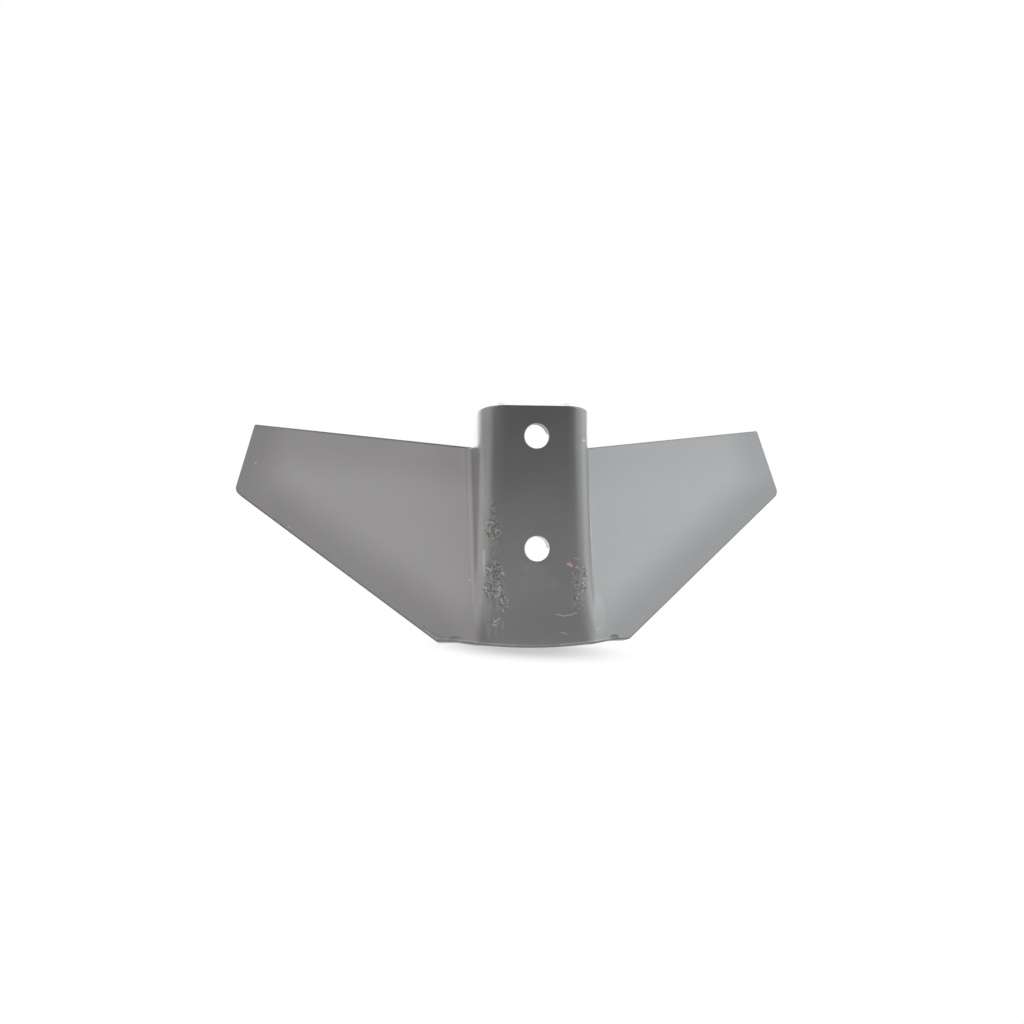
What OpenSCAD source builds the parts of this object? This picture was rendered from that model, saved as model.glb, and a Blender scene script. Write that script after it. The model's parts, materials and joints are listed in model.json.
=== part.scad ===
// Cultivator sweep: one steel plate, cut to a blank and pressed to shape.
// A channelled stem bolts over the end of a spring tine, and two flat wings
// sweep back from it. The origin lies on the seat that meets the tine, midway
// between the bolt holes: +Z runs up the stem, +Y points back into the tine.

/* [Plate] */
// Thickness of the pressed plate
plate_t = 4.8; // [3:0.1:7]

/* [Stem] */
// Flat width of the stem between its two bends
web_w = 30; // [24:0.5:44]
// Height of the stem's top edge above the middle of the bolt holes
stem_top = 36.8; // [33:0.1:60]
// Inside radius of the stem's bends
bend_inner_r = 3.5; // [1:0.1:5]
// Lean of the flanks away from square, in degrees
flank_draft = 4; // [1:0.5:12]
// Depth of flank left beside the stem above the wings, past its bend
flank_tab = 5; // [2:0.1:7]
// Width of each rounded top corner of the stem, in the flat blank
stem_corner_run = 22; // [4:0.5:28]
// Height of each rounded top corner of the stem
stem_corner_drop = 7.5; // [2:0.5:9]
// How far the inside of each bend stands proud at the cut top edge
end_bulge = 1.6; // [0:0.1:2]

/* [Bolt holes] */
// Distance between the centres of the two bolt holes
hole_pitch = 47.6; // [40:0.1:52]
// Diameter of a bolt hole
hole_d = 10.3; // [6:0.1:14]

/* [Wings] */
// Width across the wing tips, to their square corners
span = 249.4; // [200:1:320]
// Sweep of the wings back from the stem's face, in degrees
wing_sweep = 17; // [10:0.5:30]
// Lean of the wings back towards their top, in degrees
wing_lean = 12.5; // [10:0.5:14]
// Depth of the wing's face behind the stem's face, at the bend and level with the origin
wing_setback = 14.5; // [13:0.1:18]
// Front radius where a flank runs into its wing
root_r = 3.5; // [2:0.5:8]
// Height of the wing's top edge where it leaves the stem
root_top = 20; // [10:0.5:21]
// Radius of the notch between the stem and the wing's top edge
notch_r = 2.5; // [1:0.5:3]
// Height of the tip's lower corner
tip_low = 1.8; // [-15:0.1:15]
// Height of the tip's upper corner
tip_high = 31.2; // [22:0.1:45]
// How far the tip's upper corner lies inside its lower corner
tip_rake = 8.8; // [0:0.1:20]
// Radius of the tip's lower corner
tip_low_r = 3.5; // [1:0.5:8]
// Radius of the tip's upper corner
tip_high_r = 1.2; // [0.5:0.1:4]

/* [Nose] */
// Depth of the nose below the middle of the bolt holes
nose_drop = 65.5; // [60:0.5:70]
// Radius of the nose's curved lower edge
nose_r = 200; // [150:10:600]
// Depth of the flat shoulders at the ends of the nose
shoulder_drop = 62.6; // [50:0.1:64]
// Width across the nose's corners
nose_w = 84; // [72:1:110]
// Radius of the nose's corners
nose_corner_r = 2; // [0.5:0.5:6]

/* [Hidden] */

// Fineness of the pressed surface
BODY_ROWS = 22;
TAB_ROWS = 5;
BEND_COLUMNS = 14;
ROOT_COLUMNS = 8;
NOSE_COLUMNS = 2;
NOSE_CORNER_STEPS = 3;
TIP_CORNER_STEPS = 5;
TIP_TOP_STEPS = 3;
WEB_SHARES = [0, 0.4, 0.7, 0.87];
HALVINGS = 30;
EPS = 0.01;
HOLE_FN = 64;

half_web = web_w / 2;
full_turn = 90 - flank_draft;
bend_r = bend_inner_r + plate_t;
bend_w = bend_r * sin(full_turn);
notch_z = root_top + notch_r;
back_slope = tan(wing_sweep);
lean_slope = tan(wing_lean);
wing_normal = [back_slope, -1, lean_slope] / norm([back_slope, -1, lean_slope]);
bulge_w = bend_r / 3;

// Corners of the right wing in the front view, as [x, z]
nose_corner = [nose_w / 2, -shoulder_drop];
tip_low_corner = [span / 2, tip_low];
tip_high_corner = [span / 2 - tip_rake, tip_high];
root_corner = [half_web + bend_w, root_top];

function mix(a, b, k) = a + (b - a) * k;
function unit(v) = v / norm(v);
function arc_length(r, turn) = r * turn * PI / 180;

// Points along the arc of radius r that rounds corner c between points p and q
function rounded(p, c, q, r, steps) =
    let (a = unit(p - c), b = unit(q - c), half = acos(a * b) / 2)
    let (centre = c + unit(a + b) * r / sin(half), reach = r / tan(half))
    let (first = c + a * reach - centre, last = c + b * reach - centre, turn = 180 - 2 * half)
    [for (k = [0 : steps])
        centre + (first * sin(turn * (1 - k / steps)) + last * sin(turn * k / steps)) / sin(turn)];

// Depth of the wing's front face behind the stem's front face
function wing_depth(x, z) =
    wing_setback + back_slope * (x - half_web - bend_w) + lean_slope * z;

// How far the stem's bend and the root's bend alone pass the wing's face, for a given turn
function overshoot(turn, z) =
    bend_w * tan(turn / 2) + root_r * (cos(wing_sweep) - cos(turn))
    - wing_depth(half_web + bend_w + root_r * (sin(turn) - sin(wing_sweep)), z);

// The turn at which the two bends alone just reach the wing's face
function meeting_turn(low, high, z, halvings) =
    let (mid = (low + high) / 2)
    halvings == 0 ? mid
    : overshoot(mid, z) > 0 ? meeting_turn(low, mid, z, halvings - 1)
    : meeting_turn(mid, high, z, halvings - 1);

function flank_turn(z) =
    overshoot(full_turn, z) <= 0 ? full_turn
    : overshoot(wing_sweep, z) >= 0 ? wing_sweep
    : meeting_turn(wing_sweep, full_turn, z, HALVINGS);

// Level section of the front face: [half width of web, bend radius, turn, flank length].
// The flank shortens, then opens out, as the wing's face comes forward towards the nose.
function section(z) =
    let (level = min(z, notch_z), turn = flank_turn(level))
    [half_web + max(0, overshoot(wing_sweep, level)) / back_slope,
     bend_w / sin(turn),
     turn,
     max(0, -overshoot(full_turn, level)) / (sin(full_turn) - back_slope * cos(full_turn))];

function bend_length(s) = arc_length(s[1], s[2]);
function root_length(s) = arc_length(root_r, s[2] - wing_sweep);
function fold_length(s) = bend_length(s) + s[3] + root_length(s);

// [x, depth, heading] on a section, a share of the way from the web to the wing
function fold(share, s) =
    let (along = share * fold_length(s), past_bend = along - bend_length(s))
    let (flank = [s[0] + bend_w, bend_w * tan(s[2] / 2)])
    let (way = [cos(s[2]), sin(s[2])], foot = flank + s[3] * way)
    past_bend <= 0
        ? let (h = s[2] * along / bend_length(s)) [s[0] + s[1] * sin(h), s[1] * (1 - cos(h)), h]
    : past_bend <= s[3]
        ? [flank[0] + past_bend * way[0], flank[1] + past_bend * way[1], s[2]]
    : let (h = s[2] - (past_bend - s[3]) / root_r * 180 / PI)
        [foot[0] + root_r * (sin(s[2]) - sin(h)), foot[1] + root_r * (cos(h) - cos(s[2])), h];

// A stem column is a number: from -1 at the centre line to 0 across the web,
// and from 0 at the bend to 1 at the wing
function stem_place(u, z) =
    let (s = section(z))
    u < 0 ? [(1 + u) * s[0], 0, 0] : fold(u, s);

// Lower edge of the nose, with its shoulders
function nose_z(x) = min(-shoulder_drop, -nose_drop + x * x / (2 * nose_r));
function nose_end(u, z = -nose_drop, passes = 5) =
    passes == 0 ? z : nose_end(u, nose_z(stem_place(u, z)[0]), passes - 1);

// Top edge of the wing, and the notch where it meets the stem
function wing_top(x) =
    mix(root_top, tip_high, (x - root_corner[0]) / (tip_high_corner[0] - root_corner[0]));
function dip(run, drop, from_edge) =
    from_edge < run ? drop * (1 - sqrt(1 - pow(1 - from_edge / run, 2))) : 0;
notch_section = section(notch_z);
notch_fold = fold_length(notch_section);
tab_share = (bend_length(notch_section) + flank_tab) / notch_fold;
function body_end(u) =
    u <= tab_share ? notch_z
    : wing_top(stem_place(u, root_top)[0]) + dip(notch_r, notch_r, (u - tab_share) * notch_fold);

// Top edge of the stem, with its corners rounded in the blank
function tab_inset(u) = tab_share * notch_fold - (u < 0 ? u * half_web : u * notch_fold);
function tab_end(u) = stem_top - dip(stem_corner_run, stem_corner_drop, tab_inset(u));
function bulge(u) =
    let (off_bend = u < 0 ? u * half_web : u * notch_fold)
    end_bulge * exp(-pow(off_bend / bulge_w, 2));

// Columns of the right half, from the centre line out: stem columns, then wing columns
stem_columns = concat(
    [for (share = WEB_SHARES) share - 1],
    [for (k = [0 : BEND_COLUMNS]) tab_share * k / BEND_COLUMNS],
    [for (k = [1 : ROOT_COLUMNS]) mix(tab_share, 1, k / ROOT_COLUMNS)]);
tab_columns = len(WEB_SHARES) + BEND_COLUMNS;
root_low = [stem_place(1, nose_end(1))[0], nose_end(1)];
root_high = [stem_place(1, root_top)[0], body_end(1)];

nose_arc = rounded([half_web, -shoulder_drop], nose_corner, tip_low_corner,
                   nose_corner_r, NOSE_CORNER_STEPS);
tip_low_arc = rounded(nose_corner, tip_low_corner, tip_high_corner, tip_low_r, TIP_CORNER_STEPS);
tip_high_arc = rounded(root_corner, tip_high_corner, tip_low_corner, tip_high_r, TIP_TOP_STEPS);
nose_run = [for (k = [1 : NOSE_COLUMNS])
    let (x = mix(root_low[0], nose_arc[0][0], k / (NOSE_COLUMNS + 1))) [x, nose_z(x)]];
wing_lows = concat(nose_run, nose_arc, tip_low_arc);
top_run_columns = len(wing_lows) - len(tip_high_arc);
wing_highs = concat(
    [for (k = [1 : top_run_columns]) mix(root_high, tip_high_arc[0], k / (top_run_columns + 1))],
    tip_high_arc);
half_columns = len(stem_columns) + len(wing_lows) - 1;

// Front and back points of the plate, from a front point [x, depth, z] and its normal
function through(x, depth, z, n, rise = 0) =
    let (front = [x, depth - plate_t, z])
    [front, front - plate_t * n + [0, 0, rise]];

function stem_pair(u, z, rise = 0) =
    let (p = stem_place(u, z), slide = (stem_place(u, z + EPS) - stem_place(u, z - EPS)) / (2 * EPS))
    through(p[0], p[1], z,
            unit([sin(p[2]), -cos(p[2]), cos(p[2]) * slide[1] - sin(p[2]) * slide[0]]), rise);

function stem_row(u, row) =
    row <= BODY_ROWS
        ? stem_pair(u, mix(nose_end(u), body_end(u), row / BODY_ROWS))
        : let (k = (row - BODY_ROWS) / TAB_ROWS)
          stem_pair(u, mix(notch_z, tab_end(u), k), k == 1 ? bulge(u) : 0);

function wing_row(low, high, row) =
    let (p = mix(low, high, row / BODY_ROWS))
    through(p[0], wing_depth(p[0], p[1]), p[1], wing_normal);

right_half = concat(
    [for (k = [0 : len(stem_columns) - 1])
        [for (row = [0 : BODY_ROWS + (k <= tab_columns ? TAB_ROWS : 0)])
            stem_row(stem_columns[k], row)]],
    [for (k = [0 : len(wing_lows) - 1])
        [for (row = [0 : BODY_ROWS]) wing_row(wing_lows[k], wing_highs[k], row)]]);

// The whole plate is a grid of [column, row] places, with column 0 on the centre line
function row_reach(row) = row <= BODY_ROWS ? half_columns : tab_columns;
all_rows = BODY_ROWS + TAB_ROWS;
places = [for (row = [0 : all_rows]) for (c = [-row_reach(row) : row_reach(row)]) [c, row]];
function index(c, row) =
    min(row, BODY_ROWS + 1) * (2 * half_columns + 1)
    + max(0, row - BODY_ROWS - 1) * (2 * tab_columns + 1)
    + c + row_reach(row);
function plate_points(face) =
    [for (at = places)
        let (p = right_half[abs(at[0])][at[1]][face]) at[0] < 0 ? [-p[0], p[1], p[2]] : p];

function triangles(a, b, c, d) = [[a, b, c], [a, c, d]];
back = len(places);
cells = [for (row = [0 : all_rows - 1])
    let (reach = row_reach(row + 1)) for (c = [-reach : reach - 1]) [c, row]];
rim = concat(
    [for (c = [-half_columns : half_columns - 1]) [c, 0]],
    [for (row = [0 : BODY_ROWS - 1]) [half_columns, row]],
    [for (c = [half_columns : -1 : tab_columns + 1]) [c, BODY_ROWS]],
    [for (row = [BODY_ROWS : all_rows - 1]) [tab_columns, row]],
    [for (c = [tab_columns : -1 : 1 - tab_columns]) [c, all_rows]],
    [for (row = [all_rows : -1 : BODY_ROWS + 1]) [-tab_columns, row]],
    [for (c = [-tab_columns : -1 : 1 - half_columns]) [c, BODY_ROWS]],
    [for (row = [BODY_ROWS : -1 : 1]) [-half_columns, row]]);

module pressed_plate() {
    faces = concat(
        [for (at = cells)
            let (a = index(at[0], at[1]), b = index(at[0], at[1] + 1))
            for (t = at[0] < 0 ? triangles(a, b, b + 1, a + 1) : triangles(b, b + 1, a + 1, a)) t],
        [for (at = cells)
            let (a = index(at[0], at[1]) + back, b = index(at[0], at[1] + 1) + back)
            for (t = at[0] < 0 ? triangles(a, a + 1, b + 1, b) : triangles(a + 1, b + 1, b, a)) t],
        [for (k = [0 : len(rim) - 1])
            let (a = index(rim[k][0], rim[k][1]))
            let (next = rim[(k + 1) % len(rim)], b = index(next[0], next[1]))
            for (t = triangles(a, b, b + back, a + back)) t]);
    polyhedron(points = concat(plate_points(0), plate_points(1)), faces = faces, convexity = 6);
}

module bolt_holes() {
    for (side = [-1, 1])
        translate([0, 0, side * hole_pitch / 2])
            rotate([90, 0, 0])
                cylinder(d = hole_d, h = 4 * plate_t, center = true, $fn = HOLE_FN);
}

module sweep() {
    color("#6f706f")
        difference() {
            pressed_plate();
            bolt_holes();
        }
}

sweep();
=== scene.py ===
"""Looks of a pressed steel cultivator sweep: one painted plate with its press marks, in a studio."""
import json
from math import cos, radians, sin

import bmesh
import bpy
import numpy as np
from mathutils import Matrix, Vector


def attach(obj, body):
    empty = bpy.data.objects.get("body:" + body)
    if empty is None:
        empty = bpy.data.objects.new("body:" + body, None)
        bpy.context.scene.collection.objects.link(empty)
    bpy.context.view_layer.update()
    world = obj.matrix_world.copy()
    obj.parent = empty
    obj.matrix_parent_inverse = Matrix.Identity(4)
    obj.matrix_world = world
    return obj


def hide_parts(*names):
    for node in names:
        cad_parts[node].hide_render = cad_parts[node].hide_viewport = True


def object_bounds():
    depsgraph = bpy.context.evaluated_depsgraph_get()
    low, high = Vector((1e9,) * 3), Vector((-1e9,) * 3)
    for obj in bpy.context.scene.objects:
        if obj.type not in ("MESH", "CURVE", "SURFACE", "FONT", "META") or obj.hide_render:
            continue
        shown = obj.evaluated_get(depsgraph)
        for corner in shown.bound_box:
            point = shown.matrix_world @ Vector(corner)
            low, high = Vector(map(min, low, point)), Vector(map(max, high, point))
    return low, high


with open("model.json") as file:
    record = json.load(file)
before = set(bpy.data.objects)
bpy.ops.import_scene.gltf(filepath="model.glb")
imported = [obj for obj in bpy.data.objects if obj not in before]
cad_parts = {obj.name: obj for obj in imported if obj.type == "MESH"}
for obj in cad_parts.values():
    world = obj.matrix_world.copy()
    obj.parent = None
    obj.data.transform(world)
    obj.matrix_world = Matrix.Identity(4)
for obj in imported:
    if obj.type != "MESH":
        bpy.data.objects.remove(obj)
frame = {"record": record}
cad_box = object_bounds()

MM = 0.001

# Plate and stem, in millimetres and degrees
PLATE_T = 4.8
EDGE_R = 0.3
WEB_W = 30
STEM_TOP = 36.8
BEND_INNER_R = 4.3
FLANK_DRAFT = 4
FLANK_TAB = 5
STEM_FLARE = 0.025
STEM_CORNER_RUN = 22
STEM_CORNER_DROP = 7.5

# Swelling of the cut top edge at the inside of each bend
BULGE_RISE = 1.5
BULGE_OFF_BEND = 0.2
BULGE_HALF_W = 3.7
BULGE_REACH = 3

# Bolt holes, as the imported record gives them
bolts = next(m for m in frame["record"]["mounts"] if m["name"] == "tine_bolts")["dims"]
HOLE_PITCH = bolts["spacing_y_mm"]
HOLE_R = bolts["hole_r_mm"]
HOLE_LIP_R = 0.35
HOLE_PATCH = 8.4

# Wings
SPAN = 249.4
WING_SWEEP = 17
WING_LEAN = 12.5
WING_SETBACK = 14.74
ROOT_R = 4.2
ROOT_TOP = 20
NOTCH_R = 2.5
TIP_LOW = 1.8
TIP_HIGH = 31.2
TIP_RAKE = 8.8
TIP_LOW_R = 3.5
TIP_HIGH_R = 0.7

# Nose
NOSE_DROP = 65.5
NOSE_R = 200
SHOULDER_DROP = 62.6
NOSE_W = 84
NOSE_CORNER_R = 2

# Dents in the nose's edge: centre in x and z, half sizes and depth, and how steeply they start
DENTS = [((-34.3, -62.4), (2.0, 1.6), 0.8), ((34.6, -62.4), (2.1, 1.6), 0.8)]
DENT_POWER = 0.7

# Fineness of the mesh, with the stem's rows as the share of the height reached and the steps to it
WEB_COLUMNS = 34
BEND_COLUMNS = 34
ROOT_COLUMNS = 14
NOSE_COLUMNS = 20
NOSE_CORNER_STEPS = 6
TIP_LOW_STEPS = 8
TIP_HIGH_STEPS = 6
LEAD_COLUMNS = 8
BOW_COLUMNS = 20
BODY_STOPS = [(0.010, 1), (0.66, 132), (0.99, 36), (1, 1)]
TAB_STOPS = [(0.95, 18), (1, 1)]
ROUND_STEPS = 3
HOLE_RINGS = 6

# Passes that settle the fold's turn and the nose's edge, and the small step that finds a slope
TURN_PASSES = 40
NOSE_PASSES = 6
SLOPE_STEP = 0.01

half_web = WEB_W / 2
sweep_turn = radians(WING_SWEEP)
full_turn = radians(90 - FLANK_DRAFT)
bend_r = BEND_INNER_R + PLATE_T
bend_w = bend_r * np.sin(full_turn)
notch_z = ROOT_TOP + NOTCH_R
back_slope = np.tan(sweep_turn)
lean_slope = np.tan(radians(WING_LEAN))
nose_corner = np.array([NOSE_W / 2, -SHOULDER_DROP])
tip_low_corner = np.array([SPAN / 2, TIP_LOW])
tip_high_corner = np.array([SPAN / 2 - TIP_RAKE, TIP_HIGH])
root_corner = np.array([half_web + bend_w, ROOT_TOP])


def mix(a, b, share):
    return a + (b - a) * share


def unit(v):
    return v / np.linalg.norm(v, axis=-1, keepdims=True)


def fading(value, start, end):
    """1 up to the start, 0 from the end on, and straight between them."""
    return np.clip((end - value) / (end - start), 0, 1)


def shares(stops):
    """Shares from 0 to 1, in even steps up to each stop."""
    made = [0.0]
    for stop, steps in stops:
        made += list(np.linspace(made[-1], stop, steps + 1)[1:])
    return np.array(made)


def rounded(p, c, q, r, steps):
    """Points of the arc that rounds corner c between p and q, drawn in by the edge's own rounding."""
    a, b = unit(p - c), unit(q - c)
    half = np.arccos(a @ b) / 2
    centre = c + unit(a + b) * r / np.sin(half)
    reach = r / np.tan(half)
    first, last = c + a * reach - centre, c + b * reach - centre
    turn = np.pi - 2 * half
    k = np.linspace(0, 1, steps + 1)[:, None]
    arc = (first * np.sin(turn * (1 - k)) + last * np.sin(turn * k)) / np.sin(turn)
    return centre + arc * (r - EDGE_R) / r


def wing_depth(x, z):
    """Depth of the wing's front face behind the stem's front face."""
    return WING_SETBACK + back_slope * (x - half_web - bend_w) + lean_slope * z


def web_half(z):
    """Half width of the web, which widens a little from the notch down."""
    return half_web + STEM_FLARE * (notch_z - z)


def overshoot(turn, z):
    """How far the stem's bend and the root's bend alone pass the wing's face, for a given turn."""
    root_x = web_half(z) + bend_w + ROOT_R * (np.sin(turn) - np.sin(sweep_turn))
    root_depth = ROOT_R * (np.cos(sweep_turn) - np.cos(turn))
    return bend_w * np.tan(turn / 2) + root_depth - wing_depth(root_x, z)


def flank_turn(z):
    """Turn of the flank, which opens out where the wing's face comes forward towards the nose."""
    low, high = np.full_like(z, sweep_turn), np.full_like(z, full_turn)
    for _ in range(TURN_PASSES):
        mid = (low + high) / 2
        past = overshoot(mid, z) > 0
        low, high = np.where(past, low, mid), np.where(past, mid, high)
    return high


def section(z):
    """Level section of the front face: half width of the web, bend radius, turn and flank length."""
    level = np.minimum(z, notch_z)
    turn = flank_turn(level)
    half = web_half(level) + np.maximum(0, overshoot(sweep_turn, level)) / back_slope
    closing = np.sin(full_turn) - back_slope * np.cos(full_turn)
    return half, bend_w / np.sin(turn), turn, np.maximum(0, -overshoot(full_turn, level)) / closing


def fold_length(z):
    """Length of the front face from the bend's start to the wing, at a level."""
    _, radius, turn, flank = section(z)
    return radius * turn + flank + ROOT_R * (turn - sweep_turn)


def stem_place(u, z):
    """[x, depth, heading] at u: from -1 at the centre line to 0 at the bend, and on to 1 at the wing."""
    half, radius, turn, flank = section(z)
    along = np.maximum(u, 0) * fold_length(z)
    bent = np.minimum(along / radius, turn)
    straight = np.clip(along - radius * turn, 0, flank)
    opened = np.maximum(0, along - radius * turn - flank) / ROOT_R
    x = half * (1 + np.minimum(u, 0)) + radius * np.sin(bent) + straight * np.cos(turn)
    x = x + ROOT_R * (np.sin(turn) - np.sin(turn - opened))
    depth = radius * (1 - np.cos(bent)) + straight * np.sin(turn)
    depth = depth + ROOT_R * (np.cos(turn - opened) - np.cos(turn))
    return np.stack(np.broadcast_arrays(x, depth, bent - opened), axis=-1)


def stem_normal(u, z):
    """Direction in which the stem's front face looks."""
    slide = (stem_place(u, z + SLOPE_STEP) - stem_place(u, z - SLOPE_STEP)) / (2 * SLOPE_STEP)
    h = stem_place(u, z)[..., 2]
    lift = np.cos(h) * slide[..., 1] - np.sin(h) * slide[..., 0]
    return unit(np.stack([np.sin(h), -np.cos(h), lift], axis=-1))


def dip(run, drop, from_edge):
    """Fall of an edge that a quarter ellipse rounds off."""
    return drop * (1 - np.sqrt(1 - fading(from_edge, 0, run) ** 2))


def nose_z(x):
    return np.minimum(-SHOULDER_DROP, -NOSE_DROP + x * x / (2 * NOSE_R)) + EDGE_R


def nose_end(u):
    """Height of the nose's edge at a column of the stem."""
    z = np.full_like(u, -NOSE_DROP)
    for _ in range(NOSE_PASSES):
        z = nose_z(stem_place(u, z)[..., 0])
    return z


def wing_top(x):
    along = (x - root_corner[0]) / (tip_high_corner[0] - root_corner[0])
    return mix(ROOT_TOP, TIP_HIGH, along) - EDGE_R


notch_level = np.array(notch_z)
notch_fold = float(fold_length(notch_level))
notch_bend = float(np.prod(section(notch_level)[1:3]))
tab_share = (notch_bend + FLANK_TAB - EDGE_R) / notch_fold


def off_bend(u):
    """Distance in the flat blank from the start of the bend."""
    return np.where(u < 0, u * half_web, u * notch_fold)


def body_end(u):
    """Height at which a column of the stem ends under the tab, in the notch or at the wing's top."""
    past_tab = (u - tab_share) * notch_fold
    edge = wing_top(stem_place(u, np.full_like(u, ROOT_TOP))[..., 0])
    return np.where(past_tab <= 0, notch_z, edge + dip(NOTCH_R + EDGE_R, NOTCH_R + EDGE_R, past_tab))


def tab_end(u):
    """Height of the stem's cut top edge at a column."""
    inset = tab_share * notch_fold + EDGE_R - off_bend(u)
    return STEM_TOP - EDGE_R - dip(STEM_CORNER_RUN, STEM_CORNER_DROP, inset)


def bulge(u):
    """Swelling of the cut top edge at a column."""
    return BULGE_RISE * np.exp(-((off_bend(u) - BULGE_OFF_BEND) / BULGE_HALF_W) ** 4)


stem_columns = np.concatenate([
    np.linspace(-1, 0, WEB_COLUMNS + 1),
    np.linspace(0, tab_share, BEND_COLUMNS + 1)[1:],
    np.linspace(tab_share, 1, ROOT_COLUMNS + 1)[1:],
])
tab_column = WEB_COLUMNS + BEND_COLUMNS
body_rows = shares(BODY_STOPS)
tab_rows = shares(TAB_STOPS)[1:]
top_of_body = len(body_rows) - 1


def stem_half():
    """Front points, normals and swelling of the right half of the stem, as [column, row]."""
    u = stem_columns[:, None]
    z = np.hstack([mix(nose_end(u), body_end(u), body_rows), mix(notch_z, tab_end(u), tab_rows)])
    place = stem_place(u, z)
    front = np.stack([place[..., 0], place[..., 1] - PLATE_T, z], axis=-1)
    swell = bulge(u) * np.exp(-((tab_end(u) - z) / BULGE_REACH) ** 2)
    front[tab_column + 1:, top_of_body + 1:] = np.nan
    return front, stem_normal(u, z), swell


def wing_half():
    """Front points and normals of the right wing, on lines from its lower to its upper edge."""
    u = np.array([[1.0]])
    root_low = np.array([stem_place(u, nose_end(u))[0, 0, 0], nose_end(u)[0, 0]])
    root_high = np.array([stem_place(u, np.array([[ROOT_TOP]]))[0, 0, 0], body_end(u)[0, 0]])
    shoulder = np.array([half_web, -SHOULDER_DROP])
    nose_arc = rounded(shoulder, nose_corner, tip_low_corner, NOSE_CORNER_R, NOSE_CORNER_STEPS)
    low_arc = rounded(nose_corner, tip_low_corner, tip_high_corner, TIP_LOW_R, TIP_LOW_STEPS)
    high_arc = rounded(root_corner, tip_high_corner, tip_low_corner, TIP_HIGH_R, TIP_HIGH_STEPS)
    nose_x = np.linspace(root_low[0], nose_arc[0, 0], NOSE_COLUMNS + 2)[1:-1]
    lead = mix(nose_arc[-1], low_arc[0], np.linspace(0, 1, LEAD_COLUMNS + 2)[1:-1, None])
    lows = np.vstack([np.stack([nose_x, nose_z(nose_x)], axis=-1), nose_arc, lead, low_arc])
    top_run = len(lows) - len(high_arc)
    highs = mix(root_high, high_arc[0], np.linspace(0, 1, top_run + 2)[1:-1, None])
    highs = np.vstack([highs, high_arc])
    x, z = np.moveaxis(mix(lows[:, None], highs[:, None], body_rows[:, None]), -1, 0)
    root = mix(root_low, root_high, body_rows[:, None])
    bow = stem_place(np.ones(len(root)), root[:, 1])[:, 0] - root[:, 0]
    x = x + fading(np.arange(len(lows)) + 1, 0, BOW_COLUMNS)[:, None] * bow
    front = np.full((len(lows), len(body_rows) + len(tab_rows), 3), np.nan)
    front[:, :len(body_rows)] = np.stack([x, wing_depth(x, z) - PLATE_T, z], axis=-1)
    normal = np.broadcast_to(unit(np.array([back_slope, -1, lean_slope])), front.shape)
    return front, normal


def dented(front):
    """How far the dents sink the front face."""
    sunk = np.zeros(front.shape[:2])
    for centre, half, depth in DENTS:
        off = np.linalg.norm((front[..., [0, 2]] - centre) / half, axis=-1)
        sunk = sunk + depth * fading(off, 0, 1) ** DENT_POWER
    return sunk


def mirrored(half):
    """The whole plate's grid, with the centre line as its middle column."""
    left = half[:0:-1].copy()
    if half.ndim == 3:
        left[..., 0] *= -1
    return np.concatenate([left, half])


def plate_grid():
    """Front points, normals and swelling of the whole plate, as [column, row]."""
    stem, stem_normals, swell = stem_half()
    wing, wing_normals = wing_half()
    front = mirrored(np.concatenate([stem, wing]))
    normal = mirrored(np.concatenate([stem_normals, wing_normals]))
    swell = mirrored(np.concatenate([swell, np.zeros(wing.shape[:2])]))
    return front, normal, swell


def rim_loop(columns, rows):
    """Grid places once round the plate's edge, from the left end of the nose."""
    middle, last, top = columns // 2, columns - 1, rows - 1
    right, left = middle + tab_column, middle - tab_column
    loop = [(c, 0) for c in range(last)]
    loop += [(last, r) for r in range(top_of_body)]
    loop += [(c, top_of_body) for c in range(last, right, -1)]
    loop += [(right, r) for r in range(top_of_body, top)]
    loop += [(c, top) for c in range(right, left, -1)]
    loop += [(left, r) for r in range(top, top_of_body, -1)]
    loop += [(c, top_of_body) for c in range(left, 0, -1)]
    loop += [(0, r) for r in range(top_of_body, 0, -1)]
    return np.array(loop)


def round_profile(r, depth):
    """[out, down] steps of a wall with both its edges rounded, without its two ends."""
    a = np.linspace(0, np.pi / 2, ROUND_STEPS + 1)
    over = np.stack([r * np.sin(a), r * (1 - np.cos(a))], axis=-1)[1:]
    under = np.stack([over[::-1, 0], depth - over[::-1, 1]], axis=-1)
    return np.vstack([over, under])


def block_loop(columns, rows):
    """Grid places round a block of cells."""
    (c0, c1), (r0, r1) = columns, rows
    loop = [(c, r0) for c in range(c0, c1)] + [(c1, r) for r in range(r0, r1)]
    loop += [(c, r1) for c in range(c1, c0, -1)] + [(c0, r) for r in range(r1, r0, -1)]
    return np.array(loop)


def hole_rings(corners, centre_z):
    """Rings from a block of the front face, through a bolt hole with rounded lips, to the back face."""
    out = corners[:, [0, 2]] - [0, centre_z]
    way = unit(out)
    start = HOLE_R + HOLE_LIP_R
    patch = [mix(out, way * start, k) for k in np.linspace(0, 1, HOLE_RINGS + 1)[1:]]
    flat = [(ring, -PLATE_T) for ring in patch]
    wall = [(way * (start - step), down - PLATE_T) for step, down in round_profile(HOLE_LIP_R, PLATE_T)]
    back = [(ring, 0.0) for ring in reversed(patch)]
    return [np.stack([xz[:, 0], np.full(len(xz), y), xz[:, 1] + centre_z], axis=-1)
            for xz, y in flat + wall + back]


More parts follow.
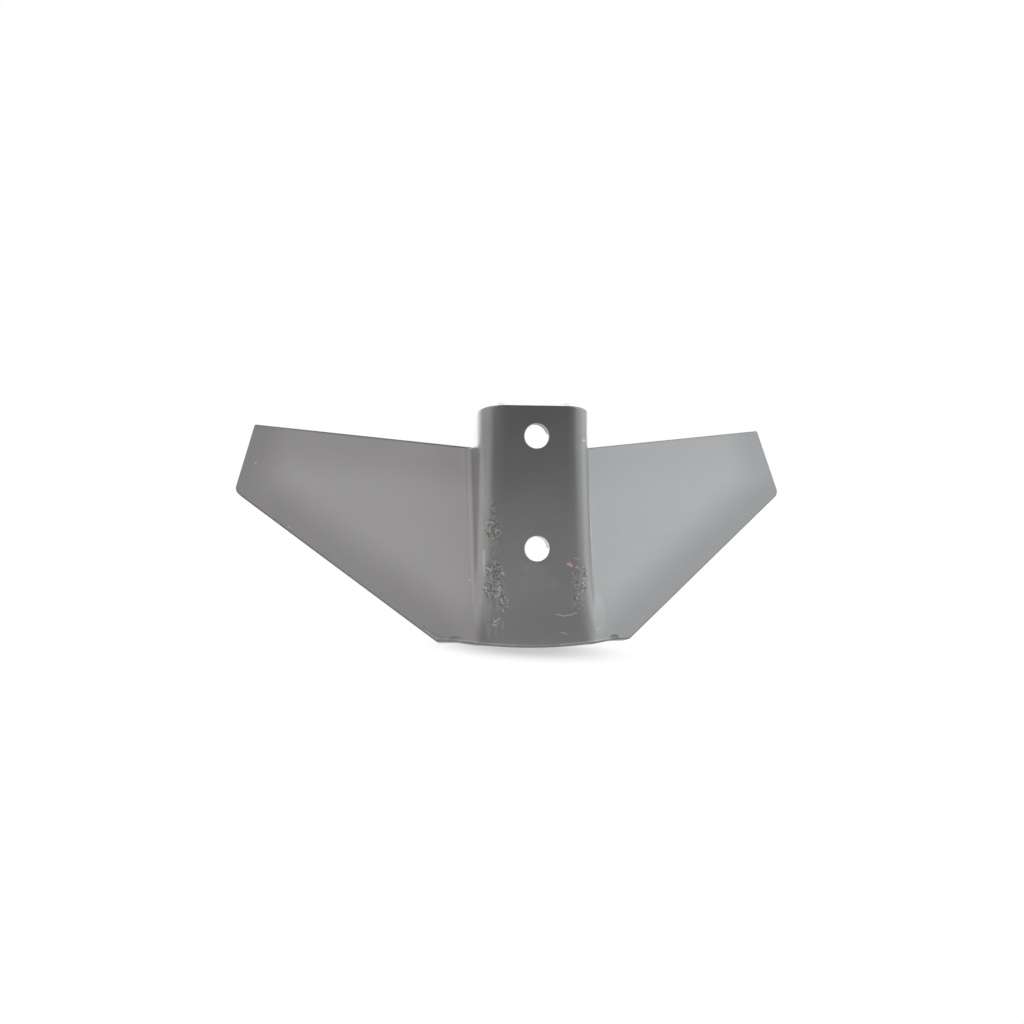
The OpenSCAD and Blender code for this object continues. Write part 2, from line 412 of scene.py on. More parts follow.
class PlateMesh:
    """Collects points, faces, and which points are on the front, on a punched wall or on the rim."""

    def __init__(self):
        self.points, self.kinds, self.quads, self.count = [], [], [], 0

    def add(self, points, front=False, punched=False, rim=False):
        first = self.count
        self.points.append(points)
        self.kinds.append(np.tile(np.array([front, punched, rim], dtype=float), (len(points), 1)))
        self.count += len(points)
        return np.arange(first, self.count)

    def add_grid(self, points, shown, front):
        index = np.full(shown.shape, -1)
        index[shown] = self.add(points[shown], front)
        corners = [index[:-1, :-1], index[1:, :-1], index[1:, 1:], index[:-1, 1:]]
        quads = np.stack(corners, axis=-1).reshape(-1, 4)
        self.quads.append(quads[(quads >= 0).all(axis=1)])
        return index

    def strip(self, rings):
        """Faces between closed rings of point numbers."""
        for a, b in zip(rings, rings[1:]):
            self.quads.append(np.stack([a, np.roll(a, -1), np.roll(b, -1), b], axis=-1))


def sweep_mesh():
    """Points of the plate, their kinds as [front, punched, rim], and its faces."""
    front, normal, swell = plate_grid()
    columns, rows = front.shape[:2]
    back = front - PLATE_T * normal
    back[..., 2] += swell
    shown = ~np.isnan(front[..., 0])
    middle = columns // 2
    made = PlateMesh()

    # Blocks of the web's cells that the bolt holes take
    reach = int(HOLE_PATCH / half_web * WEB_COLUMNS)
    stem_z = front[middle, :, 2]
    blocks = []
    for centre_z in (-HOLE_PITCH / 2, HOLE_PITCH / 2):
        inside = np.flatnonzero(np.abs(stem_z - centre_z) < HOLE_PATCH)
        blocks.append((centre_z, (middle - reach, middle + reach), (inside[0], inside[-1])))
    for _, (c0, c1), (r0, r1) in blocks:
        shown[c0 + 1:c1, r0 + 1:r1] = False

    sunk = dented(front)
    front_index = made.add_grid(front - sunk[..., None] * normal, shown, True)
    back_index = made.add_grid(back, shown, False)

    # Rounded edge all round the plate
    loop = rim_loop(columns, rows)
    edge, edge_normal = front[tuple(loop.T)], normal[tuple(loop.T)]
    edge_swell, edge_sunk = swell[tuple(loop.T)], sunk[tuple(loop.T)]
    outward = unit(np.cross(np.roll(edge, -1, axis=0) - np.roll(edge, 1, axis=0), edge_normal))
    rings = [front_index[tuple(loop.T)]]
    for number, (out, down) in enumerate(round_profile(EDGE_R, PLATE_T)):
        sink = down + edge_sunk * (1 - down / PLATE_T)
        ring = edge + out * outward - sink[:, None] * edge_normal
        ring[:, 2] += edge_swell * (down / PLATE_T) ** 2
        rings.append(made.add(ring, rim=number < ROUND_STEPS))
    made.strip(rings + [back_index[tuple(loop.T)]])

    for centre_z, block_columns, block_rows in blocks:
        loop = block_loop(block_columns, block_rows)
        rings = [front_index[tuple(loop.T)]]
        for number, ring in enumerate(hole_rings(front[tuple(loop.T)], centre_z)):
            on_wall = 0 <= number - HOLE_RINGS < 2 * ROUND_STEPS
            rings.append(made.add(ring, front=number < HOLE_RINGS, punched=on_wall))
        made.strip(rings + [back_index[tuple(loop.T)]])
    return np.vstack(made.points), np.vstack(made.kinds), np.vstack(made.quads)


# Marks left by the press and by handling, as [x, z] places on the front in millimetres

# Scuffed patches over the two bends: centre, half sizes and strength
SCUFFS = [
    ((-18.4, -6.5), (1.5, 3.8), 0.7),
    ((-18.3, -16.0), (3.2, 6.5), 0.85),
    ((-17.5, -25.5), (1.8, 2.5), 0.4),
    ((-17.8, -33.5), (4.6, 5.0), 1.0),
    ((-18.2, -41.5), (4.6, 4.5), 1.0),
    ((-14.6, -47.5), (2.4, 4.0), 0.6),
    ((-18.6, -54.5), (2.2, 2.0), 0.6),
    ((17.0, -35.0), (2.6, 4.5), 0.6),
    ((20.3, -36.5), (2.0, 5.5), 0.8),
    ((17.2, -44.5), (2.2, 5.0), 0.6),
    ((20.3, -46.0), (1.8, 4.0), 0.6),
]

# Rust stains, then light smears on the web and painted highlights down the bends by their roots, in the same
# way
RUST = [
    ((-17.3, -41.5), (1.6, 3.2), 0.8),
    ((-19.0, -52.0), (1.8, 7.0), 0.7),
    ((-17.8, -22.0), (2.4, 5.0), 0.4),
]
SMEARS_AND_ROOT_HIGHLIGHTS = [
    ((-1.5, -32.0), (6.0, 2.6), 0.05),
    ((1.0, -38.0), (9.0, 4.0), 0.03),
    # Painted highlights down the bends, by their roots
    ((-22.9, 3.0), (1.0, 14.0), 0.12),
    ((-23.5, -20.0), (1.0, 16.0), 0.12),
    ((-20.8, -53.0), (1.8, 8.0), 0.14),
    ((25.8, 4.0), (0.9, 14.0), 0.28),
    ((25.6, -22.0), (0.9, 18.0), 0.28),
    ((28.0, -52.0), (3.0, 9.0), 0.14),
]

# Patches are whole up to the first share of their half size and gone at the second
PATCH_FADE = (0.65, 1.25)

# Light scratches, with painted highlights along the nose's edge and on a bevel at the left nose corner, and
# dark lines of painted shade in creases and along that corner's fold: points along the line, half width and
# strength
SCRATCHES_AND_EDGE_HIGHLIGHTS = [
    ([(8.4, -51.4), (9.7, -51.8), (11.4, -52.3), (13.2, -51.9), (14.9, -51.8), (15.8, -51.2), (17.1, -51.0)],
     0.22, 0.45),
    ([(10.1, -59.2), (11.4, -59.4), (12.7, -59.9)], 0.25, 0.35),
    # Painted highlight along the nose's rounded edge
    ([(-38.0, -61.6), (-30.0, -62.3), (-20.0, -63.5), (-10.0, -64.2)], 0.3, 0.30),
    ([(-10.0, -64.2), (0.0, -64.5), (10.0, -64.2)], 0.3, 0.15),
    ([(10.0, -64.2), (20.0, -63.5), (30.0, -62.3), (38.0, -61.6)], 0.3, 0.30),
    ([(-19.1, -55.4), (-17.8, -54.1), (-16.0, -53.0)], 0.28, 0.5),
    ([(16.3, -27.8), (18.2, -28.2)], 0.2, 0.4),
    ([(-22.3, -24.6), (-22.4, -29.6), (-22.1, -35.1)], 0.5, 0.25),
    # Painted highlight on the bevel at the left nose corner
    ([(-46.0, -58.3), (-44.2, -59.9), (-42.4, -61.2), (-40.4, -61.8), (-38.5, -61.9)], 0.5, 0.18),
]
CREASE_SHADE_LINES = [
    # Painted shade along the fold at the left nose corner
    ([(-47.5, -55.7), (-45.7, -57.6), (-43.7, -59.0), (-41.4, -60.4), (-38.9, -61.1)], 0.35, 0.38),
    ([(16.4, -33.4), (16.6, -34.4)], 0.35, 0.5),
    ([(16.7, -37.3), (16.8, -38.2)], 0.35, 0.5),
    ([(16.2, -44.2), (16.3, -45.2)], 0.35, 0.6),
    ([(19.6, -40.6), (20.4, -40.9)], 0.40, 0.6),
]

# Drag marks down the bends: spread in x, spread in z and how many, then how each is drawn
DRAG_ZONES = [((15.6, 21.4), (-46.0, -31.0), 14), ((-21.0, -14.0), (-58.0, -30.0), 16)]
DRAG_LENGTH = (2.0, 6.0)
DRAG_SLANT = 0.10
DRAG_STRENGTH = (0.3, 0.8)
DRAG_FADE = (0.15, 0.40)
MARK_SEED = 7

# Painted shade towards the outline, where the paint is also less glossy: share lost at each edge, left and
# right, then at the web's top and on the rounded rim
LEAD_SHADE_DULL = (0.26, 0.25)
TIP_SHADE_DULL = (0.28, 0.18)
TOP_SHADE_DULL = (0.14, 0.05)
NOSE_SHADE_DULL = (0.19, 0.19)
STEM_SHADE_DULL = 0.36
RIM_SHADE_DULL = 0.5

# Where the painted shade and the dulling fade, from the wings' edges, from the stem's top and from the
# centre line
EDGE_SHADE_FADE = (4, 25)
STEM_SHADE_FADE = (0, 60)
WEB_SHADE_FADE = (half_web - 2, half_web + 4)

# Heights above the stem's top between which the swelling turns a light pink without gloss: its pink tint and
# a painted highlight on its top
SWELL_SHOWS = (0.1, 0.5)


def from_line(places, a, b):
    """Distance of each place from the straight line between a and b."""
    share = np.clip((places - a) @ (b - a) / ((b - a) @ (b - a)), 0, 1)
    return np.linalg.norm(places - a - share[:, None] * (b - a), axis=1)


def patches(places, spots):
    """Soft-edged ellipses, the strongest where they overlap."""
    cover = np.zeros(len(places))
    for centre, half, strength in spots:
        off = np.linalg.norm((places - centre) / half, axis=1)
        cover = np.maximum(cover, strength * fading(off, *PATCH_FADE))
    return cover


def drag_marks(places):
    """Short strokes down the bends, drawn at random from a fixed seed."""
    chance = np.random.RandomState(MARK_SEED)
    cover = np.zeros(len(places))
    for (x0, x1), (z0, z1), count in DRAG_ZONES:
        for _ in range(count):
            x, z = chance.uniform(x0, x1), chance.uniform(z0, z1)
            length, slant = chance.uniform(*DRAG_LENGTH), chance.uniform(-DRAG_SLANT, DRAG_SLANT)
            strength = chance.uniform(*DRAG_STRENGTH)
            start, end = np.array([x, z]), np.array([x + slant * length, z - length])
            cover = np.maximum(cover, strength * fading(from_line(places, start, end), *DRAG_FADE))
    return cover


def shade_and_dullness(points):
    """Share of painted shade, with less gloss, towards the plate's outline and towards the web's top."""
    places = np.stack([np.abs(points[:, 0]), points[:, 2]], axis=-1)
    side = (points[:, 0] > 0).astype(int)
    nose_middle = np.array([0, -NOSE_DROP])
    on_web = fading(places[:, 0], *WEB_SHADE_FADE)
    shade_dull = STEM_SHADE_DULL * on_web * fading(STEM_TOP - places[:, 1], *STEM_SHADE_FADE)
    for a, b, most in [
        (nose_corner, tip_low_corner, LEAD_SHADE_DULL), (tip_low_corner, tip_high_corner, TIP_SHADE_DULL),
        (root_corner, tip_high_corner, TOP_SHADE_DULL), (nose_middle, nose_corner, NOSE_SHADE_DULL),
    ]:
        k = fading(from_line(places, a, b), *EDGE_SHADE_FADE)
        shade_dull = np.maximum(shade_dull, np.array(most)[side] * k * k * (3 - 2 * k))
    return shade_dull


def mark_fields(points, kinds):
    """Strength of each kind of mark and finish, painted shade and highlight among them, at every point."""
    places = points[:, [0, 2]]
    front, punched, rim = kinds.T
    return {
        "front": front,
        "punched": punched,
        "rim": rim,
        "scuffed": front * patches(places, SCUFFS),
        "rusty": front * patches(places, RUST),
        "smeared": front * patches(places, SMEARS_AND_ROOT_HIGHLIGHTS),
        "dragged": front * drag_marks(places),
        "dulled": shade_and_dullness(points),
        "swollen": 1 - fading(points[:, 2] - STEM_TOP, *SWELL_SHOWS),
    }


# Level about which a noise pattern swings
NOISE_MIDDLE = 0.5


class NodeTree:
    """Short calls that add nodes to one tree and give back what they put out."""

    GIVES_NUMBER = ("DOT_PRODUCT", "DISTANCE", "LENGTH")

    def __init__(self, tree):
        self.nodes, self.links = tree.nodes, tree.links

    def new(self, kind, inputs=None, **settings):
        """A node with its settings and inputs, each given as a value or as another node's output."""
        node = self.nodes.new(kind)
        for name, value in settings.items():
            setattr(node, name, value)
        for name, value in (inputs or {}).items():
            if isinstance(value, bpy.types.NodeSocket):
                self.links.new(value, node.inputs[name])
            else:
                node.inputs[name].default_value = value
        return node

    def numbers(self, operation, *values, **settings):
        """What an operation makes of some numbers."""
        inputs = dict(enumerate(values))
        return self.new("ShaderNodeMath", inputs, operation=operation, **settings).outputs[0]

    def vectors(self, operation, *values, **named):
        """What an operation makes of some vectors, which is a number for a few operations."""
        inputs = {**dict(enumerate(values)), **named}
        node = self.new("ShaderNodeVectorMath", inputs, operation=operation)
        return node.outputs["Value" if operation in self.GIVES_NUMBER else "Vector"]

    def product(self, a, b):
        return self.numbers("MULTIPLY", a, b)

    def stepped(self, value, low, high, start=0.0, end=1.0):
        """Smooth step from start to end while the value goes from low to high."""
        inputs = {"Value": value, "From Min": low, "From Max": high, "To Min": start, "To Max": end}
        return self.new("ShaderNodeMapRange", inputs, interpolation_type="SMOOTHSTEP").outputs[0]

    def ridges(self, pattern, half_w):
        """1 along the lines where a pattern crosses its middle, 0 away from them."""
        off_middle = self.numbers("ABSOLUTE", self.numbers("SUBTRACT", pattern, NOISE_MIDDLE))
        return self.stepped(off_middle, 0.0, half_w, 1.0, 0.0)


def shader_tree(owner):
    """An empty node tree for a material or a world."""
    owner.use_nodes = True
    owner.node_tree.nodes.clear()
    return NodeTree(owner.node_tree)


# Relief of the press marks, in millimetres, as the tree's named inputs
PRESS_MARKS = {
    "Pit Depth": 0.10,
    "Pit Size": 1.4,
    "Wrinkle Depth": 0.10,
    "Wrinkle Size": 2.2,
    "Drag Depth": 0.06,
}

# Detail and distortion of the pits' and the wrinkles' patterns, and where each turns into a mark
PIT_PATTERN = (1.0, 0.3)
PIT_ENDS = (0.54, 0.66)
WRINKLE_PATTERN = (2.0, 1.5)
WRINKLE_HALF_W = 0.03


def press_marks_tree():
    """Presses pits, wrinkles and drag marks into the plate where its marks say, and paints it."""
    group = bpy.data.node_groups.new("press_marks", "GeometryNodeTree")
    face = group.interface
    face.new_socket("Plate", in_out="INPUT", socket_type="NodeSocketGeometry")
    for name in PRESS_MARKS:
        face.new_socket(name, in_out="INPUT", socket_type="NodeSocketFloat")
    face.new_socket("Seed", in_out="INPUT", socket_type="NodeSocketFloat")
    face.new_socket("Paint", in_out="INPUT", socket_type="NodeSocketMaterial")
    face.new_socket("Plate", in_out="OUTPUT", socket_type="NodeSocketGeometry")

    tree = NodeTree(group)
    given = tree.new("NodeGroupInput").outputs
    place = tree.new("GeometryNodeInputPosition").outputs[0]
    outward = tree.new("GeometryNodeInputNormal").outputs[0]

    def mark(name):
        node = tree.new("GeometryNodeInputNamedAttribute", {"Name": name}, data_type="FLOAT")
        return node.outputs["Attribute"]

    def pattern(size, detail, distortion):
        inputs = {"Vector": place, "W": given["Seed"], "Scale": tree.numbers("DIVIDE", 1.0, size),
                  "Detail": detail, "Distortion": distortion}
        return tree.new("ShaderNodeTexNoise", inputs, noise_dimensions="4D").outputs[0]

    def keep(shape, name, value):
        inputs = {"Geometry": shape, "Name": name, "Value": value}
        settings = {"data_type": "FLOAT", "domain": "POINT"}
        return tree.new("GeometryNodeStoreNamedAttribute", inputs, **settings).outputs[0]

    scuffed = mark("scuffed")
    pits = tree.stepped(pattern(given["Pit Size"], *PIT_PATTERN), *PIT_ENDS)
    wrinkles = tree.ridges(pattern(given["Wrinkle Size"], *WRINKLE_PATTERN), WRINKLE_HALF_W)
    pitted = tree.product(pits, scuffed)
    wrinkled = tree.product(wrinkles, scuffed)
    depth = tree.product(pitted, given["Pit Depth"])
    depth = tree.numbers("ADD", depth, tree.product(wrinkled, given["Wrinkle Depth"]))
    depth = tree.numbers("ADD", depth, tree.product(mark("dragged"), given["Drag Depth"]))
    inward = tree.vectors("SCALE", outward, Scale=tree.product(depth, -1.0))
    shape = keep(given["Plate"], "pitted", pitted)
    shape = keep(shape, "wrinkled", wrinkled)
    shape = tree.new("GeometryNodeSetPosition", {"Geometry": shape, "Offset": inward}).outputs[0]
    shape = tree.new("GeometryNodeRealizeInstances", {"Geometry": shape}).outputs[0]
    painted = tree.new("GeometryNodeSetMaterial", {"Geometry": shape, "Material": given["Paint"]})
    tree.new("NodeGroupOutput", {"Plate": painted.outputs[0]})
    return group


def pressed(obj, paint):
    """Runs the press marks over the plate and leaves a plain mesh."""
    tree = press_marks_tree()
    modifier = obj.modifiers.new("press_marks", "NODES")
    modifier.node_group = tree
    inputs = {s.name: s.identifier for s in tree.interface.items_tree if s.in_out == "INPUT"}
    for name, size in PRESS_MARKS.items():
        modifier[inputs[name]] = size * MM
    modifier[inputs["Seed"]] = float(MARK_SEED)
    modifier[inputs["Paint"]] = paint
    graph = bpy.context.evaluated_depsgraph_get()
    made = obj.evaluated_get(graph)
    mesh = bpy.data.meshes.new_from_object(made, preserve_all_data_layers=True, depsgraph=graph)
    obj.modifiers.clear()
    obj.data = mesh


# Paint: linear colours, gloss and the roughness from its smoothest to its roughest
GREY_DARK = (0.172, 0.172, 0.171, 1)
GREY_LIGHT = (0.190, 0.190, 0.188, 1)
# Dark used for painted shade in pits, creases and folds
PIT_DARK_AND_SHADE = (0.060, 0.060, 0.058, 1)
# Light of rubbed paint, also used for painted highlights
RUB_LIGHT_AND_HIGHLIGHT = (0.55, 0.545, 0.54, 1)
RUST_BROWN = (0.215, 0.190, 0.172, 1)
FLECK_RED = (0.55, 0.30, 0.31, 1)
BARE_STEEL = (0.72, 0.72, 0.72, 1)
# Pink of the cut top's swelling, made light as painted highlight
SWELL_PINK_LIT = (0.47, 0.43, 0.43, 1)
GLOSS = 1.0
ROUGH = (0.235, 0.265)

# Small bare chips: [x, y, z], radius in millimetres and strength
CHIPS = [
    ((-115.6, 41.0, 14.0), 0.50, 0.6),
    ((-101.5, 30.5, -14.1), 0.40, 0.6),
    ((-27.5, 2.8, -36.8), 0.40, 0.6),
    ((-23.6, 7.8, 9.2), 0.50, 0.6),
    ((20.9, -2.3, 22.3), 0.70, 0.7),
    ((26.7, -2.1, -58.0), 0.40, 0.6),
    ((-15.3, -4.8, -45.3), 0.35, 0.6),
    ((-12.6, -4.8, -45.3), 0.35, 0.6),
    ((-12.8, -4.8, -48.2), 0.35, 0.6),
    ((-14.4, -4.8, -49.8), 0.40, 0.4),
    ((-22.4, -0.8, -29.6), 0.40, 0.6),
    ((-22.1, -1.5, -35.1), 0.45, 0.7),
    ((-21.3, -2.6, -41.7), 0.60, 0.5),
    ((18.2, -4.2, -49.2), 0.70, 0.3),
]

# Red fleck by the right bend, as overlapping spots: [x, y, z] and radius in millimetres
FLECK = [((13.3, -4.8, -30.4), 0.55), ((14.1, -4.8, -30.3), 0.75), ((14.8, -4.8, -31.0), 0.70)]

# Patterns in the paint: scale for each metre and detail
CLOUD = (22, 4.0)
CREASE = (520, 3.0)
TEAR = (300, 2.0)
GRAIN = (900, 2.0)
PEEL = (420, 2.0)

# Where each pattern starts and is whole, how far a scuff's edge swings and how closely it is held in
CLOUD_ENDS = (0.35, 0.65)
SPECK_ENDS = (0.55, 0.70)
RUB_ENDS = (0.50, 0.66)
RAGGED_ENDS = (0.25, 0.85)
CREASE_HALF_W = 0.04
TEAR_SWING = 1.6
SCUFF_BOUND = 6.0

# How strongly each mark shows
SPECK_SHOWS = 0.3
RUST_SHOWS = 0.8
RUB_SHOWS = 0.60
CREASE_SHOWS = 0.65
WRINKLE_SHOWS = 0.25
PIT_SHOWS = 0.15
DRAG_SHOWS = 0.20
FLECK_SHOWS = 0.8
CREASE_DULL = 0.4
SCUFF_ROUGH = 0.03

# Lines and spots are whole up to the first share of their half width and gone at the second
LINE_FADE = (0.5, 1.6)
SPOT_FADE = (0.5, 1.4)

# Bumps of the paint's skin and of its creases: strength and height in metres
PEEL_BUMP = (0.12, 0.0002)
CREASE_BUMP = (1.0, 0.0003)


def grey_paint():
    """Satin grey paint with its clouds, grain, scuffs, scratches, stains and chips, and its painted shade
    and highlights.
    """
    material = bpy.data.materials.new("grey_paint")
    tree = shader_tree(material)
    place = tree.new("ShaderNodeTexCoord").outputs["Object"]
    flat = tree.vectors("MULTIPLY", place, (1, 0, 1))

    def pattern(scale, detail):
        inputs = {"Vector": place, "Scale": scale, "Detail": detail}
        return tree.new("ShaderNodeTexNoise", inputs).outputs[0]

    def mark(name):
        return tree.new("ShaderNodeAttribute", attribute_name=name).outputs["Fac"]

    def over(colour, tint, amount, shows=None):
        # The mix's inputs 6 and 7 are its two colours
        share = amount if shows is None else tree.product(amount, shows)
        return tree.new("ShaderNodeMix", {0: share, 6: colour, 7: tint}, data_type="RGBA").outputs[2]

    def bump(height, strength, distance, **settings):
        inputs = {"Strength": strength, "Distance": distance, "Height": height}
        return tree.new("ShaderNodeBump", inputs, **settings)

    def spot(centre, radius):
        off = tree.vectors("DISTANCE", place, tuple(c * MM for c in centre))
        whole, gone = (radius * MM * share for share in SPOT_FADE)
        return tree.stepped(off, whole, gone, 1.0, 0.0)

    def line(points, half_w, strength):
        nearest = 1.0
        for (ax, az), (bx, bz) in zip(points, points[1:]):
            run = Vector((bx - ax, 0, bz - az)) * MM
            start = tree.vectors("SUBTRACT", flat, (ax * MM, 0, az * MM))
            along = tree.vectors("DOT_PRODUCT", start, run / run.length_squared)
            foot = tree.vectors("SCALE", run, Scale=tree.numbers("ADD", along, 0.0, use_clamp=True))
            nearest = tree.numbers("MINIMUM", nearest, tree.vectors("DISTANCE", start, foot))
        whole, gone = (half_w * MM * share for share in LINE_FADE)
        return tree.product(front, tree.stepped(nearest, whole, gone, strength, 0.0))

    front, scuffed, swollen = mark("front"), mark("scuffed"), mark("swollen")
    cloud = tree.stepped(pattern(*CLOUD), *CLOUD_ENDS)
    grain = pattern(*GRAIN)
    tear = tree.product(tree.numbers("SUBTRACT", pattern(*TEAR), NOISE_MIDDLE), TEAR_SWING)
    ragged = tree.stepped(tree.numbers("ADD", scuffed, tear), *RAGGED_ENDS)
    ragged = tree.product(ragged, tree.numbers("MULTIPLY", scuffed, SCUFF_BOUND, use_clamp=True))
    creased = tree.product(ragged, tree.ridges(pattern(*CREASE), CREASE_HALF_W))

    colour = over(GREY_DARK, GREY_LIGHT, cloud)
    colour = over(colour, GREY_LIGHT, tree.stepped(grain, *SPECK_ENDS), SPECK_SHOWS)
    # Light smears, and painted highlights down the bends by their roots
    colour = over(colour, RUB_LIGHT_AND_HIGHLIGHT, mark("smeared"))
    colour = over(colour, RUST_BROWN, mark("rusty"), RUST_SHOWS)
    colour = over(colour, RUB_LIGHT_AND_HIGHLIGHT, ragged, tree.stepped(grain, *RUB_ENDS, end=RUB_SHOWS))
    # Darker in the scuffs' creases, wrinkles and pits: painted shade in these hollows, over their relief
    colour = over(colour, PIT_DARK_AND_SHADE, creased, CREASE_SHOWS)
    colour = over(colour, PIT_DARK_AND_SHADE, mark("wrinkled"), WRINKLE_SHOWS)
    colour = over(colour, PIT_DARK_AND_SHADE, mark("pitted"), PIT_SHOWS)
    colour = over(colour, RUB_LIGHT_AND_HIGHLIGHT, mark("dragged"), DRAG_SHOWS)
    # Painted shade in creases and along the fold at the left nose corner
    for points, half_w, strength in CREASE_SHADE_LINES:
        colour = over(colour, PIT_DARK_AND_SHADE, line(points, half_w, strength))
    # Light scratches, and painted highlights along the nose's edge and the corner's bevel
    for points, half_w, strength in SCRATCHES_AND_EDGE_HIGHLIGHTS:
        colour = over(colour, RUB_LIGHT_AND_HIGHLIGHT, line(points, half_w, strength))
    for centre, radius, strength in CHIPS:
        colour = over(colour, RUB_LIGHT_AND_HIGHLIGHT, spot(centre, radius), strength)
    for centre, radius in FLECK:
        colour = over(colour, FLECK_RED, spot(centre, radius), FLECK_SHOWS)
    colour = over(colour, BARE_STEEL, mark("punched"))
    # Light pink on the swelling: its tint and a painted highlight on its top
    colour = over(colour, SWELL_PINK_LIT, swollen)
    # Painted shade: darker and less glossy towards the outline, the web's top and the rounded rim
    dulled = tree.numbers("MAXIMUM", mark("dulled"), tree.product(mark("rim"), RIM_SHADE_DULL))
    colour = over(colour, (0, 0, 0, 1), dulled)

    marked = tree.numbers("MAXIMUM", swollen, tree.product(creased, CREASE_DULL))
    unmarked = tree.product(tree.numbers("SUBTRACT", 1.0, marked), GLOSS)
    gloss = tree.product(tree.numbers("SUBTRACT", 1.0, dulled), unmarked)
    rough = tree.numbers("ADD", tree.stepped(cloud, 0.0, 1.0, *ROUGH), tree.product(ragged, SCUFF_ROUGH))
    skin = bump(pattern(*PEEL), *PEEL_BUMP)
    folds = bump(creased, *CREASE_BUMP, invert=True)
    tree.links.new(skin.outputs[0], folds.inputs["Normal"])
    shader = tree.new("ShaderNodeBsdfPrincipled", {
        "Base Color": colour, "Specular IOR Level": gloss, "Roughness": rough, "Normal": folds.outputs[0],
    })
    tree.new("ShaderNodeOutputMaterial", {"Surface": shader.outputs[0]})
    return material


def sweep(paint):
    """The painted plate, as one piece on the root body."""
    points, kinds, quads = sweep_mesh()
    mesh = bpy.data.meshes.new("sweep_plate")
    mesh.from_pydata((points * MM).tolist(), [], quads.tolist())
    for name, field in mark_fields(points, kinds).items():
        layer = mesh.attributes.new(name, "FLOAT", "POINT")
        layer.data.foreach_set("value", field.astype(np.float32))
    shape = bmesh.new()
    shape.from_mesh(mesh)
    bmesh.ops.recalc_face_normals(shape, faces=shape.faces)
    shape.to_mesh(mesh)
    shape.free()
    mesh.shade_smooth()
    obj = bpy.data.objects.new("sweep_plate", mesh)
    bpy.context.scene.collection.objects.link(obj)
    pressed(obj, paint)
    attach(obj, "root")
    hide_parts("sweep")
    return obj


# Studio glows: azimuth from the front, height, inner and outer spread, all in degrees, and colour
GLOWS = [
    (-27, 26, 0, 14, (3.22, 3.10, 3.13)),
    (46, 22.5, 0, 24, (2.95, 3.03, 3.11)),
    (-58, 20, 5, 32, (0.77, 0.75, 0.75)),
    (80, 20, 5, 32, (1.46, 1.50, 1.52)),
    (-95, 10, 10, 70, (1.69, 1.65, 1.64)),
    (-155, 10, 10, 55, (1.91, 1.90, 1.90)),
    (125, 10, 15, 90, (1.61, 1.65, 1.66)),
    (180, 15, 25, 80, (0.60, 0.60, 0.60)),
]

# Floor, in metres: its glow on the sweep, and its shade under the nose as an ellipse set to the left
FLOOR_HALF_W = 6.0
FLOOR_BOUNCE = 0.90
FLOOR_BOUNCE_FADE = (0.10, 0.50)
FLOOR_SHADE = 0.58
FLOOR_SHADE_FADE = (0.025, 0.115)
FLOOR_SHADE_NARROW = 2.8
FLOOR_SHADE_LEFT = 0.006


def floor():
    """White floor, shaded under the nose for the camera, that lights the sweep a little from below."""
    material = bpy.data.materials.new("white_floor")
    tree = shader_tree(material)
    place = tree.new("ShaderNodeTexCoord").outputs["Object"]

    def glow(left, narrow, ends, start, end):
        level = tree.vectors("MULTIPLY_ADD", place, (narrow, 1, 0), (left * narrow, 0, 0))
        strength = tree.stepped(tree.vectors("LENGTH", level), *ends, start, end)
        return tree.new("ShaderNodeEmission", {"Color": (1, 1, 1, 1), "Strength": strength}).outputs[0]

    seen = glow(FLOOR_SHADE_LEFT, FLOOR_SHADE_NARROW, FLOOR_SHADE_FADE, FLOOR_SHADE, 1.0)
    felt = glow(0, 1, FLOOR_BOUNCE_FADE, FLOOR_BOUNCE, 0.0)
    direct = tree.new("ShaderNodeLightPath").outputs["Is Camera Ray"]
    both = tree.new("ShaderNodeMixShader", {0: direct, 1: felt, 2: seen}).outputs[0]
    tree.new("ShaderNodeOutputMaterial", {"Surface": both})
    w, z = FLOOR_HALF_W, cad_box[0].z
    mesh = bpy.data.meshes.new("floor")
    mesh.from_pydata([(-w, -w, z), (w, -w, z), (w, w, z), (-w, w, z)], [], [(0, 1, 2, 3)])
    mesh.materials.append(material)
    obj = bpy.data.objects.new("floor", mesh)
    bpy.context.scene.collection.objects.link(obj)


def toward(azimuth, height):
    """Direction at an azimuth from the front, to the right, and at a height, both in degrees."""
    a, h = radians(azimuth), radians(height)
    return Vector((sin(a) * cos(h), -cos(a) * cos(h), sin(h)))


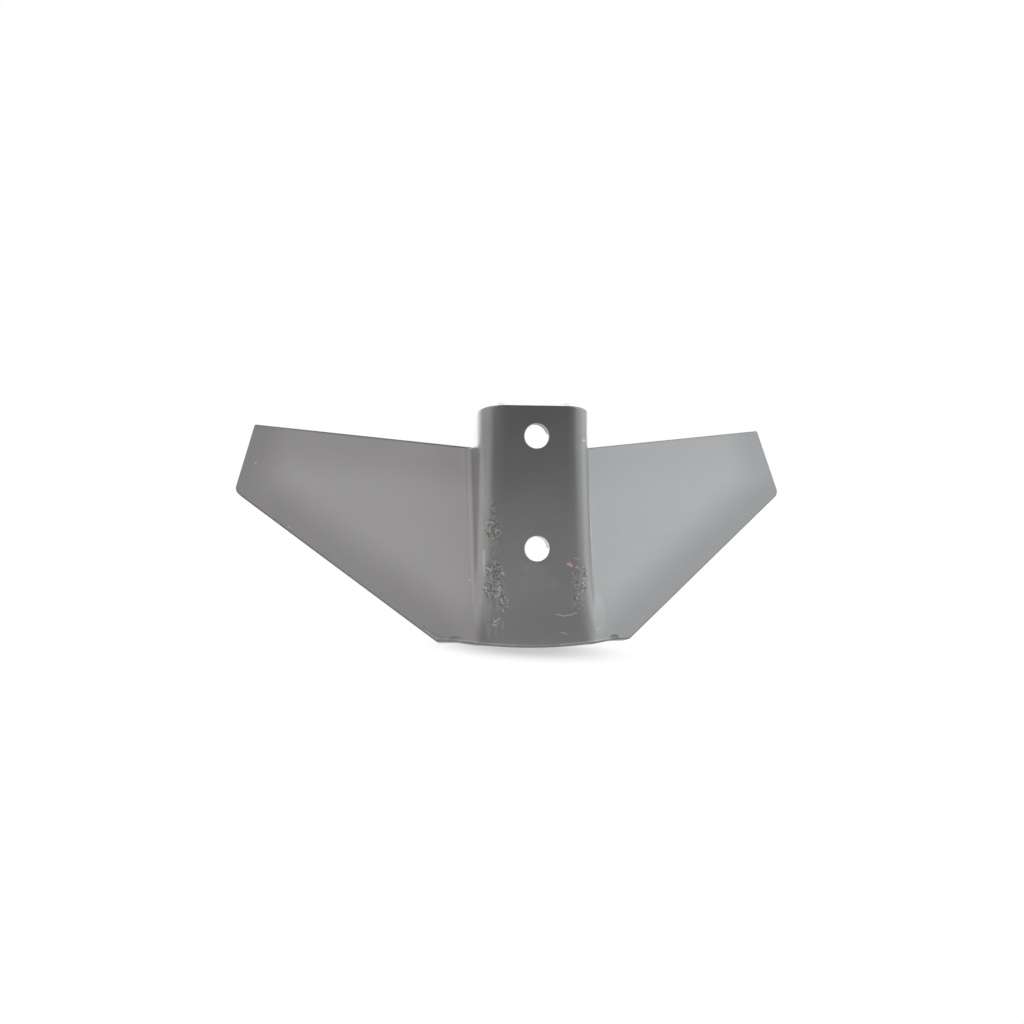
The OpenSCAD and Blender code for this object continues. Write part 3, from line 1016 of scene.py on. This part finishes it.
def surround():
    """Soft glows around the sweep, dark towards the camera, and white where the camera sees past it."""
    world = bpy.data.worlds.new("surround")
    bpy.context.scene.world = world
    tree = shader_tree(world)
    way = tree.new("ShaderNodeTexCoord").outputs["Generated"]
    light = (0, 0, 0)
    for azimuth, height, inner, outer, colour in GLOWS:
        near = tree.vectors("DOT_PRODUCT", way, toward(azimuth, height))
        share = tree.stepped(near, cos(radians(outer)), cos(radians(inner)))
        light = tree.vectors("ADD", light, tree.vectors("SCALE", colour, Scale=share))
    lit = tree.new("ShaderNodeBackground", {"Color": light}).outputs[0]
    seen = tree.new("ShaderNodeBackground", {"Color": (1, 1, 1, 1)}).outputs[0]
    direct = tree.new("ShaderNodeLightPath").outputs["Is Camera Ray"]
    both = tree.new("ShaderNodeMixShader", {0: direct, 1: lit, 2: seen}).outputs[0]
    tree.new("ShaderNodeOutputWorld", {"Surface": both})


# Camera: turn, tilt and roll in degrees, and its distance and offset from the stem's front in millimetres
VIEW_YAW = 11.249
VIEW_PITCH = -1.514
VIEW_ROLL = -0.143
VIEW_DISTANCE = 680
VIEW_OFFSET = (10.52, 8.31)
VIEW_PIXELS = 1024
VIEW_FOCAL_PIXELS = 1611.3
SENSOR_MM = 36


def camera():
    """The photograph's view of the sweep."""
    lens = bpy.data.cameras.new("camera")
    lens.sensor_width = SENSOR_MM
    lens.lens = VIEW_FOCAL_PIXELS / VIEW_PIXELS * SENSOR_MM
    obj = bpy.data.objects.new("camera", lens)
    turn = (Matrix.Rotation(radians(-VIEW_YAW), 3, "Z") @ Matrix.Rotation(radians(-VIEW_PITCH), 3, "X")
            @ Matrix.Rotation(radians(-VIEW_ROLL), 3, "Y"))
    to_stem = turn @ Vector((VIEW_OFFSET[0], VIEW_DISTANCE, VIEW_OFFSET[1]))
    place = Vector((0, -PLATE_T, 0)) - to_stem
    upright = turn @ Matrix.Rotation(radians(90), 3, "X")
    obj.matrix_world = Matrix.Translation(place * MM) @ upright.to_4x4()
    bpy.context.scene.collection.objects.link(obj)
    bpy.context.scene.camera = obj


camera()
sweep(grey_paint())
floor()
surround()
bpy.context.scene.view_settings.view_transform = "Standard"
